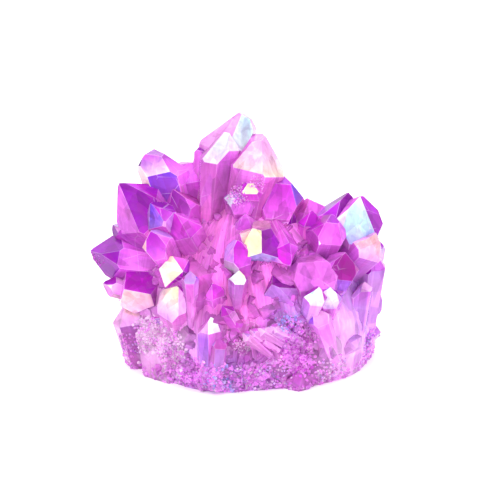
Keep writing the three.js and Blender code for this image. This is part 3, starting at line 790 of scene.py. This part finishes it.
def build_crystal(crystal, stream, chance, edge_width):
    """One crystal with chips and narrow chamfered edges that carry a painted highlight, cut off flat at the
    ground.
    """
    planes, own_frame, tip, coat = crystal_planes(crystal, stream, chance)
    axis = own_frame[2]
    radius = crystal.radius
    planes.append(plane(np.array((0.0, 0.0, -1.0)), 0.0, ROOT, ROOT_TONE))
    if radius > CHIPPED_FROM and "rough" not in crystal.details:
        add_chips(planes, tip, axis, radius, chance)
    add_highlit_chamfers(planes, edge_width)
    normals, distances = normals_and_distances(planes)
    solid = hull(corners_of(normals, distances))
    owners = [owner(face, normals, distances) for face in solid.faces]
    film_share = (1 - crystal.details.get("rough", 0.0)) * coat.film_share
    plain_clear = chance.uniform(*PLAIN_CLEAR)
    clear = plain_clear if coat.clear is None else coat.clear
    hiding = GLASSY_HIDING if clear > GLASSY_FROM else MILKY_HIDING
    start = np.array([chance.uniform(*GRAIN_START) for _ in range(3)])

    def growth_at(index, place):
        _, _, kind, upper, lower = planes[owners[index]]
        brightness = upper @ LUMINANCE
        down = (tip - place).dot(axis)
        cover = COVER[kind] * film_share
        dark = max(0.0, 1 - brightness / DARK_BELOW) if kind in (CAP, CUT, PRISM) else 0.0
        cover += (1 - cover) * DARK_COVER * dark
        lines = RULED if kind == PRISM else SMOOTH
        painted_reflection = min(1.0, PAINTED_REFLECTION_GAIN * brightness)
        deep = min(1.0, DEEP_CLEAR[0] + DEEP_CLEAR[1] * brightness) if kind != ROOT else 1.0
        seen_through = clear * deep * (1 - hiding * painted_reflection * cover)
        grain = own_frame @ (place - tip) * GRAIN + start
        habit = (down / CENTIMETRE, cover, down / (FILM_RADII * radius))
        return (*upper, seen_through), (*lower, lines), habit, grain

    return write_mesh(crystal.name, solid, growth_at)


def build_matrix(chance):
    """The matrix under the crystals: a low lumpy mound of fine prisms fused side by side."""
    solid = bmesh.new()
    rings = []
    heights = np.linspace(0, BASE_PROFILE[-1][1], MATRIX_RINGS)
    flutes = [
        (chance.randint(*FLUTES), chance.uniform(*FLUTE_START), chance.uniform(*FLUTE_SLANT))
        for _ in range(FLUTE_SETS)
    ]
    for height in heights:
        ring = []
        for i in range(MATRIX_AROUND):
            angle = 2 * math.pi * i / MATRIX_AROUND
            lumps = sum(math.sin(angle * turns + height * slant + start) for turns, slant, start in LUMPS)
            phases = [angle * turns + start + height * slant for turns, start, slant in flutes]
            fine = sum(abs(math.sin(phase)) for phase in phases)
            rough = LUMP_HEIGHT * lumps - FLUTE_DEPTH * fine - MATRIX_SUNK if height > 0 else -FLUTE_DEPTH
            reach = mound_share(height) * (outline_reach(angle) + rough)
            ring.append(solid.verts.new((reach * math.cos(angle), reach * math.sin(angle), height)))
        rings.append(ring)
    pairs = [(i, (i + 1) % MATRIX_AROUND) for i in range(MATRIX_AROUND)]
    for lower, upper in zip(rings, rings[1:]):
        for i, j in pairs:
            solid.faces.new((lower[i], lower[j], upper[j], upper[i]))
    bottom, top = (solid.verts.new((0, 0, height)) for height in (0, BASE_TOP))
    for i, j in pairs:
        solid.faces.new((rings[0][j], rings[0][i], bottom))
    for i, j in pairs:
        solid.faces.new((rings[-1][i], rings[-1][j], top))
    bmesh.ops.triangulate(solid, faces=solid.faces)

    def growth_at(_, place):
        outward = unit((place[0], place[1], NEARLY_NOTHING))
        grain = outward * MATRIX_GRAIN + (0, 0, GRAIN[2] * place[2])
        return (*tone(MATRIX_TONES[0]), MATRIX_CLEAR), (*tone(MATRIX_TONES[1]), 0.0), MATRIX_HABIT, grain

    return write_mesh("matrix", solid, growth_at)


def joined(name, solids):
    """All the closed solids as one, by the exact manifold union."""
    group = bpy.data.collections.new(name)
    bpy.context.scene.collection.children.link(group)
    for solid in solids[1:]:
        group.objects.link(solid)
    first = solids[0]
    bpy.context.scene.collection.objects.link(first)
    union = first.modifiers.new("union", "BOOLEAN")
    union.operation = "UNION"
    union.solver = "MANIFOLD"
    union.operand_type = "COLLECTION"
    union.collection = group
    ready = first.evaluated_get(bpy.context.evaluated_depsgraph_get())
    mesh = bpy.data.meshes.new_from_object(ready)
    mesh.name = name
    for solid in solids:
        bpy.data.objects.remove(solid)
    bpy.data.collections.remove(group)
    return placed(name, mesh)


# ---- druse

# Lets a triangle with no area have a normal.
FLAT_AREA = 1e-12
# An axis as upright as this is crossed with x, and any other with z.
UPRIGHT = 0.8


def scattered(points, triangles, chance, count):
    """Points spread evenly over triangles, with the normal at each."""
    a, b, c = (points[triangles[:, i]] for i in range(3))
    across = np.cross(b - a, c - a)
    areas = np.linalg.norm(across, axis=1) / 2
    picked = chance.choice(len(triangles), size=count, p=areas / areas.sum())
    u, v = chance.random(count), chance.random(count)
    over = u + v > 1
    u[over], v[over] = 1 - u[over], 1 - v[over]
    places = a[picked] + u[:, None] * (b - a)[picked] + v[:, None] * (c - a)[picked]
    return places, across[picked] / (2 * areas[picked, None] + FLAT_AREA)


def druse_seeds(points, triangles, chance):
    """Where crumbs grow, which way they point, how large they are and which tones they carry."""
    a, b, c = (points[triangles[:, i]] for i in range(3))
    middles = (a + b + c) / 3
    sizes = np.linalg.norm(b - a, axis=1) + np.linalg.norm(c - a, axis=1)
    areas = np.linalg.norm(np.cross(b - a, c - a), axis=1) / 2
    seeds = []
    for centre, reach, crowding, widths, letters in DRUSE:
        near = np.linalg.norm(middles - centre, axis=1) < reach + sizes
        count = int(crowding * areas[near].sum())
        places, normals = scattered(points, triangles[near], chance, count)
        away = np.linalg.norm(places - centre, axis=1) / reach
        kept = away < DRUSE_EDGE[0] + DRUSE_EDGE[1] * chance.random(count)
        seeds += [(p, n, chance.uniform(*widths), letters) for p, n in zip(places[kept], normals[kept])]
    low = middles[:, 2] < FOOT_BAND["height"] + sizes
    count = int(FOOT_BAND["crowding"] * areas[low].sum())
    places, normals = scattered(points, triangles[low], chance, count)
    kept = (places[:, 2] < FOOT_BAND["height"] * chance.random(count)) & (normals[:, 2] > LOOKS_DOWN)
    widths, letters = FOOT_BAND["widths"], FOOT_BAND["tones"]
    seeds += [(p, n, chance.uniform(*widths), letters) for p, n in zip(places[kept], normals[kept])]
    return [seed for seed in seeds if seed[0][2] > DRUSE_LOWEST]


def build_druse(body, chance):
    """A druse of tiny double-ended points, each a closed solid sunk to its middle in the body."""
    body.calc_loop_triangles()
    points = places_of(body)
    triangles = np.array([t.vertices for t in body.loop_triangles])
    seeds = druse_seeds(points, triangles, chance)
    count = len(seeds)
    axes = np.array([n for _, n, _, _ in seeds]) + DRUSE_SCATTER * chance.normal(size=(count, 3))
    axes /= np.linalg.norm(axes, axis=1)[:, None]
    helper = np.where(np.abs(axes[:, 2:]) < UPRIGHT, (0.0, 0.0, 1.0), (1.0, 0.0, 0.0))
    first = np.cross(axes, helper)
    first /= np.linalg.norm(first, axis=1)[:, None]
    second = np.cross(axes, first)
    half = np.array([w for _, _, w, _ in seeds])[:, None] / 2
    places = np.array([p for p, _, _, _ in seeds])
    turns = chance.uniform(0, math.pi / 3, count)
    corners = []
    for k in range(SIDES):
        angle = turns + k * math.pi / 3
        spoke = first * np.cos(angle)[:, None] + second * np.sin(angle)[:, None]
        corners.append(places + half * spoke * chance.uniform(*DRUSE_ROUNDNESS, (count, 1)))
    corners.append(places + half * axes * chance.uniform(*DRUSE_RISE, (count, 1)))
    corners.append(places - half * axes)
    verts = np.stack(corners, axis=1)
    verts[:, :, 2] = np.maximum(verts[:, :, 2], 0.0)
    shape = [(k, (k + 1) % SIDES, SIDES) for k in range(SIDES)]
    shape += [((k + 1) % SIDES, k, SIDES + 1) for k in range(SIDES)]
    size = SIDES + 2
    faces = [tuple(size * i + corner for corner in face) for i in range(count) for face in shape]
    mesh = bpy.data.meshes.new("druse")
    mesh.from_pydata(verts.reshape(-1, 3).tolist(), [], faces)
    upper, lower, habit, grain = [], [], [], []
    for centre, _, _, letters in seeds:
        own = tone(letters[chance.integers(len(letters))])
        clear = chance.uniform(*DRUSE_CLEAR)
        for _ in shape:
            # A few facets carry a painted glint in place of their own tone.
            glint = chance.random() < PAINTED_GLINT_SHARE
            shade = tone(PAINTED_GLINT_TONE) if glint else np.minimum(own * chance.uniform(*DRUSE_BRIGHTNESS), 1.0)
            upper += [(*shade, clear)] * 3
            lower += [(*shade, 0.0)] * 3
            habit += [DRUSE_HABIT] * 3
            grain += [centre * GRAIN[0]] * 3
    write_growth(mesh, upper, lower, habit, grain)
    return placed("druse", mesh)


# ---- materials

# Repeats of each pattern to the metre: clouds about 10 mm across, a swell of 6 mm, seams 5 mm apart and
# cells of 4 mm. Growth lines run this many to the centimetre.
CLOUDS = 95.0
SWELL = 160.0
SEAMS = 210.0
CELLS = 260.0
GROWTH_LINES = 22.0
# Repeats of the wisps and of the long cells to one of the grain.
WISPS = 1.0
LONG_CELLS = 0.8
# How slowly the film leaves its upper tone, how much a fracture shows, its colour, and what the film
# tints the reflections.
DRIFT_POWER = 1.7
FRACTURE_SHARE = 0.4
FRACTURE_COLOUR = "#F6D8FA"
REFLECTION_COLOUR = "#E468FF"
QUARTZ = "film_coated_grown_quartz"


def tint_milk(mesh, colours):
    """Gives each point of the body the colour of the milk under it, blended from the patches round it."""
    places = places_of(mesh)
    total = np.full((len(places), 1), MILK_GROUND)
    blend = total * np.array(colours.orchid)
    for name, patches in MILK.items():
        for centre, reach in patches:
            weight = np.exp(-np.sum((places - centre) ** 2, axis=1, keepdims=True) / reach**2)
            blend += weight * np.array(getattr(colours, name))
            total += weight
    data = np.ones((len(places), 4), np.float32)
    data[:, :3] = blend / total
    mesh.attributes.new("milk", "FLOAT_COLOR", "POINT").data.foreach_set("color", data.ravel())


def node(tree, kind, inputs=None, **settings):
    """Adds a node with its settings. An input takes a value, a socket, or a node for its first output."""
    made = tree.nodes.new("ShaderNode" + kind)
    for label, value in settings.items():
        setattr(made, label, value)
    for socket, value in (inputs or {}).items():
        if isinstance(value, bpy.types.Node):
            value = next(output for output in value.outputs if output.enabled)
        if isinstance(value, bpy.types.NodeSocket):
            tree.links.new(value, made.inputs[socket])
        else:
            made.inputs[socket].default_value = value
    return made


def coated_quartz(colours):
    """Grown quartz with a vapour film: milky rose and orchid within, clear at the tips, and on each
    facet a tone of its own, partly the film's interference colour and partly painted reflection and painted
    shade.
    It gives the eye flat, glossy facets on a glowing body."""
    material = bpy.data.materials.new(QUARTZ)
    material.use_nodes = True
    material.node_tree.nodes.clear()
    add = partial(node, material.node_tree)
    upper = add("Attribute", attribute_name="film_upper")
    lower = add("Attribute", attribute_name="film_lower")
    milk = add("Attribute", attribute_name="milk")
    grain = add("Attribute", attribute_name="grain").outputs["Vector"]
    habit = add("Attribute", attribute_name="habit").outputs["Vector"]
    down, cover, share = add("SeparateXYZ", {"Vector": habit}).outputs
    place = add("TexCoord").outputs["Object"]

    # Clouds in the milk, wisps 2 mm wide along each crystal, and planes within whose brightness is painted
    # internal reflection: long cells of their own brightness and hue, wide ones of their own brightness, and
    # seams where hairline fractures lie.
    cloud = add("TexNoise", {"Vector": place, "Scale": CLOUDS, "Detail": 3.0, "Roughness": 0.55})
    cloud.inputs["Distortion"].default_value = 0.6
    wisps = add("TexNoise", {"Vector": grain, "Scale": WISPS, "Detail": 4.0, "Roughness": 0.62})
    wisps.inputs["Distortion"].default_value = 0.8
    long_cells = add("TexVoronoi", {"Vector": grain, "Scale": LONG_CELLS}).outputs["Color"]
    wide_cells = add("TexVoronoi", {"Vector": place, "Scale": CELLS}).outputs["Color"]
    long_red, long_green, _ = add("SeparateColor", {"Color": long_cells}).outputs
    wide_red = add("SeparateColor", {"Color": wide_cells}).outputs["Red"]
    seams = add("TexVoronoi", {"Vector": place, "Scale": SEAMS}, feature="DISTANCE_TO_EDGE")

    # Each pattern or place is brought from one range to another.
    ranged = {}
    for label, source, low, high, first, last in (
        ("density", cloud, 0.3, 0.7, 0.8, 1.15),
        ("cloudy", cloud, 0.54, 0.64, 0.0, 1.0),
        ("worn", wisps, 0.35, 0.6, 0.84, 1.0),
        ("wisp_shade", wisps, 0.32, 0.68, 0.78, 1.18),
        ("long_reflection", long_red, 0.0, 1.0, 0.8, 1.18),
        ("wide_reflection", wide_red, 0.0, 1.0, 0.85, 1.15),
        ("hue", long_green, 0.0, 1.0, 0.485, 0.512),
        ("hairline", seams, 0.0, 0.02, 1.0, 0.0),
        ("drift", share, 0.0, 0.42, 0.0, 1.0),
        ("fade", share, 0.3, 1.3, 1.0, 0.25),
        ("clearing", share, 0.1, 1.4, 1.0, 0.45),
        ("roughness", cover, 0.0, 0.6, 0.32, 0.06),
    ):
        ends = {"From Min": low, "From Max": high, "To Min": first, "To Max": last}
        ranged[label] = add("MapRange", {"Value": source, **ends})
    product = {}
    for label, *factors in (
        ("strength", ranged["fade"], ranged["worn"], cover),
        ("shade", ranged["wisp_shade"], ranged["long_reflection"], ranged["wide_reflection"]),
        ("fracture", ranged["hairline"], ranged["cloudy"], FRACTURE_SHARE),
        ("clear", upper.outputs["Alpha"], ranged["clearing"]),
    ):
        product[label] = factors[0]
        for factor in factors[1:]:
            product[label] = add("Math", {0: product[label], 1: factor}, operation="MULTIPLY")

    # The milk, then the film over it with its painted reflections and painted shade, the shades within with
    # their painted internal reflections, and the fractures.
    milky = add("HueSaturation", {"Value": ranged["density"], "Color": milk})
    drift = add("Math", {0: ranged["drift"], 1: DRIFT_POWER}, operation="POWER")
    film = add("Mix", {"Factor": drift, "A": upper, "B": lower}, data_type="RGBA")
    coated = add("Mix", {"Factor": product["strength"], "A": milky, "B": film}, data_type="RGBA")
    varied = add("HueSaturation", {"Hue": ranged["hue"], "Value": product["shade"], "Color": coated})
    seamed = {"Factor": product["fracture"], "A": varied, "B": linear(FRACTURE_COLOUR)}
    base = add("Mix", seamed, data_type="RGBA")

    # A low swell, and growth lines across the prism faces, 0.45 mm apart and crowded by the swell.
    swell = add("TexNoise", {"Vector": place, "Scale": SWELL, "Detail": 1.0})
    broad = add("Bump", {"Strength": 0.2, "Distance": 0.6 * MM, "Height": swell})
    wavy = add("Math", {0: down, 1: GROWTH_LINES, 2: swell}, operation="MULTIPLY_ADD")
    lines = add("TexNoise", {"W": wavy, "Scale": 1.0, "Detail": 2.0}, noise_dimensions="1D")
    height = add("Math", {0: lines, 1: lower.outputs["Alpha"]}, operation="MULTIPLY")
    ruled = add("Bump", {"Strength": 0.35, "Distance": 0.3 * MM, "Height": height, "Normal": broad})
    facets = {
        "Base Color": base,
        "Roughness": ranged["roughness"],
        "IOR": 1.544,
        "Transmission Weight": product["clear"],
        "Specular Tint": linear(REFLECTION_COLOUR),
        "Coat Weight": 0.06,
        "Coat Roughness": 0.03,
        "Subsurface Weight": 0.5,
        "Subsurface Radius": (1.0, 0.35, 1.0),
        "Subsurface Scale": 4 * MM,
        "Normal": ruled,
    }
    shader = add("BsdfPrincipled", facets)
    depth = add("VolumeAbsorption", {"Color": (*colours.depth, 1.0), "Density": 30.0})
    add("OutputMaterial", {"Surface": shader, "Volume": depth})
    return material


def pale_floor(colours):
    """Matt white studio card: it shows only the soft pink glow and shadow under the cluster."""
    material = bpy.data.materials.new("matt_white_card")
    material.use_nodes = True
    shader = material.node_tree.nodes["Principled BSDF"]
    shader.inputs["Base Color"].default_value = (*colours.floor, 1.0)
    shader.inputs["Roughness"].default_value = 0.9
    shader.inputs["Specular IOR Level"].default_value = 0.1
    return material


# ---- settings


class QuartzSizes(PropertyGroup):
    """Sizes of the growth detail."""

    # These chamfered edges carry a painted highlight, paler than the facets beside them.
    chamfer: FloatProperty(
        name="Edge", description="Width of the worn edges between facets", default=0.11 * MM, unit="LENGTH"
    )
    seed: IntProperty(name="Seed", description="Start of the random stream for detail", default=7, min=0)


def colour(name, description, hex_colour):
    return FloatVectorProperty(
        name=name, description=description, subtype="COLOR", min=0.0, max=1.0, default=linear(hex_colour)[:3]
    )


class QuartzColours(PropertyGroup):
    """The body's colours under the film."""

    deep: colour("Deep", "The darkest of the milk within", "#BC46CC")
    rose: colour("Rose", "The milk within where it leans to rose", "#DE72C8")
    orchid: colour("Orchid", "The milk within over most of the body", "#E27EDC")
    lavender: colour("Lavender", "The milk within where it leans to blue", "#C898F4")
    pale: colour("Pale", "The milk within at its thickest", "#F6B4F0")
    depth: colour("Depth", "What stays of white light that has crossed a thick crystal", "#E880F0")
    floor: colour("Floor", "The card that the cluster stands on", "#FBF9FB")


class QuartzStage(PropertyGroup):
    """Camera and light."""

    lens: FloatProperty(name="Lens", description="Focal length", default=90.0, unit="CAMERA")
    distance: FloatProperty(name="Distance", description="Camera to target", default=0.294, unit="LENGTH")
    elevation: FloatProperty(
        name="Elevation", description="Camera above the level", default=math.radians(20), subtype="ANGLE"
    )
    world: FloatProperty(name="Surround", description="Strength of the even white surround", default=0.8)


# ---- stage

# Each light in metres and watts: place, width of its square and power.
LIGHTS = (
    ("key_softbox", (-0.22, -0.26, 0.34), 0.2, 0.85),
    ("fill_softbox", (0.34, -0.2, 0.2), 0.2, 0.55),
    ("back_softbox", (0.05, 0.36, 0.26), 0.3, 0.75),
    ("overhead_scrim", (0.0, 0.2, 1.1), 1.6, 13.0),
    ("front_scrim", (0.1, -0.9, 0.3), 0.8, 2.6),
)
# In metres: where the lights aim, half the floor's width, and the nearest that the camera sees.
LIGHTS_AIM = (0, 0, 0.025)
FLOOR_HALF = 1.5
NEAREST_SEEN = 0.01
# What the camera looks at: how far right of the cluster's middle and how high, in millimetres.
TARGET = (3.2, 26.4)


def lay_floor(context):
    mesh = bpy.data.meshes.new("floor")
    corners = [(FLOOR_HALF * x, FLOOR_HALF * y, 0) for x, y in ((-1, -1), (1, -1), (1, 1), (-1, 1))]
    mesh.from_pydata(corners, [], [(0, 1, 2, 3)])
    mesh.materials.append(pale_floor(context.scene.quartz_colours))
    floor = placed("floor", mesh)


def light_stage(context):
    world = bpy.data.worlds.new("white_surround")
    world.use_nodes = True
    background = world.node_tree.nodes["Background"]
    background.inputs["Color"].default_value = (1, 1, 1, 1)
    background.inputs["Strength"].default_value = context.scene.quartz_stage.world
    context.scene.world = world
    for name, place, size, power in LIGHTS:
        light = bpy.data.lights.new(name, "AREA")
        light.shape = "SQUARE"
        light.size = size
        light.energy = power
        lamp = placed(name, light)
        lamp.location = place
        lamp.rotation_euler = (Vector(LIGHTS_AIM) - Vector(place)).to_track_quat("-Z", "Y").to_euler()


def aim_camera(context):
    stage = context.scene.quartz_stage
    shift = bpy.data.objects["crystals"]["quartz_shift"]
    target = Vector((TARGET[0] * MM + shift[0], shift[1], TARGET[1] * MM))
    back = Vector((0, -math.cos(stage.elevation), math.sin(stage.elevation)))
    camera = bpy.data.cameras.new("camera")
    camera.lens = stage.lens
    camera.clip_start = NEAREST_SEEN
    viewer = placed("camera", camera)
    viewer.location = target + back * stage.distance
    viewer.rotation_euler = (-back).to_track_quat("-Z", "Y").to_euler()
    context.scene.camera = viewer
    context.scene.view_settings.view_transform = "Standard"


# ---- makers


def settle(grown, colours, shift):
    """Gives a mesh in millimetres its milk and material, and moves it to its place in metres."""
    tint_milk(grown, colours)
    grown.transform(Matrix.Translation((*shift, 0)) @ Matrix.Scale(MM, 4))
    grown.materials.clear()
    grown.materials.append(bpy.data.materials.get(QUARTZ) or coated_quartz(colours))


class QUARTZ_OT_crystals(Operator):
    """Builds the joined crystals and their matrix"""

    bl_idname = "quartz.crystals"
    bl_label = "Crystals and matrix"

    def execute(self, context):
        sizes = context.scene.quartz_sizes
        stream = Stream(STREAM_SEED)
        chance = random.Random(sizes.seed)
        large = [Crystal(*row) for row in CRYSTALS]
        large += fill_crystals(stream)
        large += skirt_crystals(stream)
        large += sheaf_crystals(stream)
        solids = [build_matrix(chance)]
        solids += [build_crystal(crystal, stream, chance, sizes.chamfer / MM) for crystal in large]
        for layer in MOUND_LAYERS:
            for i, crystal in enumerate(mound_crystals(layer, chance)):
                solids.append(build_crystal(crystal, Stream(i), chance, SMALL_EDGE))
        cluster = joined("crystals", solids)
        cluster.data.copy().name = BODY
        own = places_of(cluster.data).astype(np.float32)
        middle = (own.min(axis=0) + own.max(axis=0)) / 2
        low, high = (Vector(corner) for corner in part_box(CAD_NODE))
        shift = (low + high) / 2 - Vector((middle[0], middle[1], 0)) * MM
        cluster["quartz_shift"] = (shift.x, shift.y)
        settle(cluster.data, context.scene.quartz_colours, cluster["quartz_shift"])
        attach(cluster, "root")
        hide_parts(CAD_NODE)
        return {"FINISHED"}


class QUARTZ_OT_druse(Operator):
    """Grows the druse on the crystals"""

    bl_idname = "quartz.druse"
    bl_label = "Druse"

    def execute(self, context):
        body = bpy.data.meshes[BODY]
        druse = build_druse(body, np.random.default_rng(context.scene.quartz_sizes.seed))
        bpy.data.meshes.remove(body)
        settle(druse.data, context.scene.quartz_colours, bpy.data.objects["crystals"]["quartz_shift"])
        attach(druse, "root")
        return {"FINISHED"}


class QUARTZ_OT_stage(Operator):
    """Builds the pale floor, the soft lights and the camera"""

    bl_idname = "quartz.stage"
    bl_label = "Floor, light and camera"

    def execute(self, context):
        lay_floor(context)
        light_stage(context)
        aim_camera(context)
        return {"FINISHED"}


class QUARTZ_PT_panel(Panel):
    """The cluster's settings and makers."""

    bl_idname = "QUARTZ_PT_panel"
    bl_label = "Coated quartz cluster"
    bl_space_type = "VIEW_3D"
    bl_region_type = "UI"
    bl_category = "Quartz"

    def draw(self, context):
        layout = self.layout
        for kept in SETTINGS:
            group = getattr(context.scene, kept)
            for name in group.__annotations__:
                layout.prop(group, name)
        for maker in MAKERS:
            layout.operator(maker.bl_idname)


SETTINGS = {"quartz_sizes": QuartzSizes, "quartz_colours": QuartzColours, "quartz_stage": QuartzStage}
MAKERS = (QUARTZ_OT_crystals, QUARTZ_OT_druse, QUARTZ_OT_stage)
CLASSES = (*SETTINGS.values(), *MAKERS, QUARTZ_PT_panel)


def register():
    for made in CLASSES:
        bpy.utils.register_class(made)
    for kept, group in SETTINGS.items():
        setattr(bpy.types.Scene, kept, PointerProperty(type=group))


def unregister():
    for kept in SETTINGS:
        delattr(bpy.types.Scene, kept)
    for made in reversed(CLASSES):
        bpy.utils.unregister_class(made)


def main():
    register()
    bpy.ops.quartz.crystals()
    bpy.ops.quartz.druse()
    bpy.ops.quartz.stage()


if __name__ == "__main__":
    main()
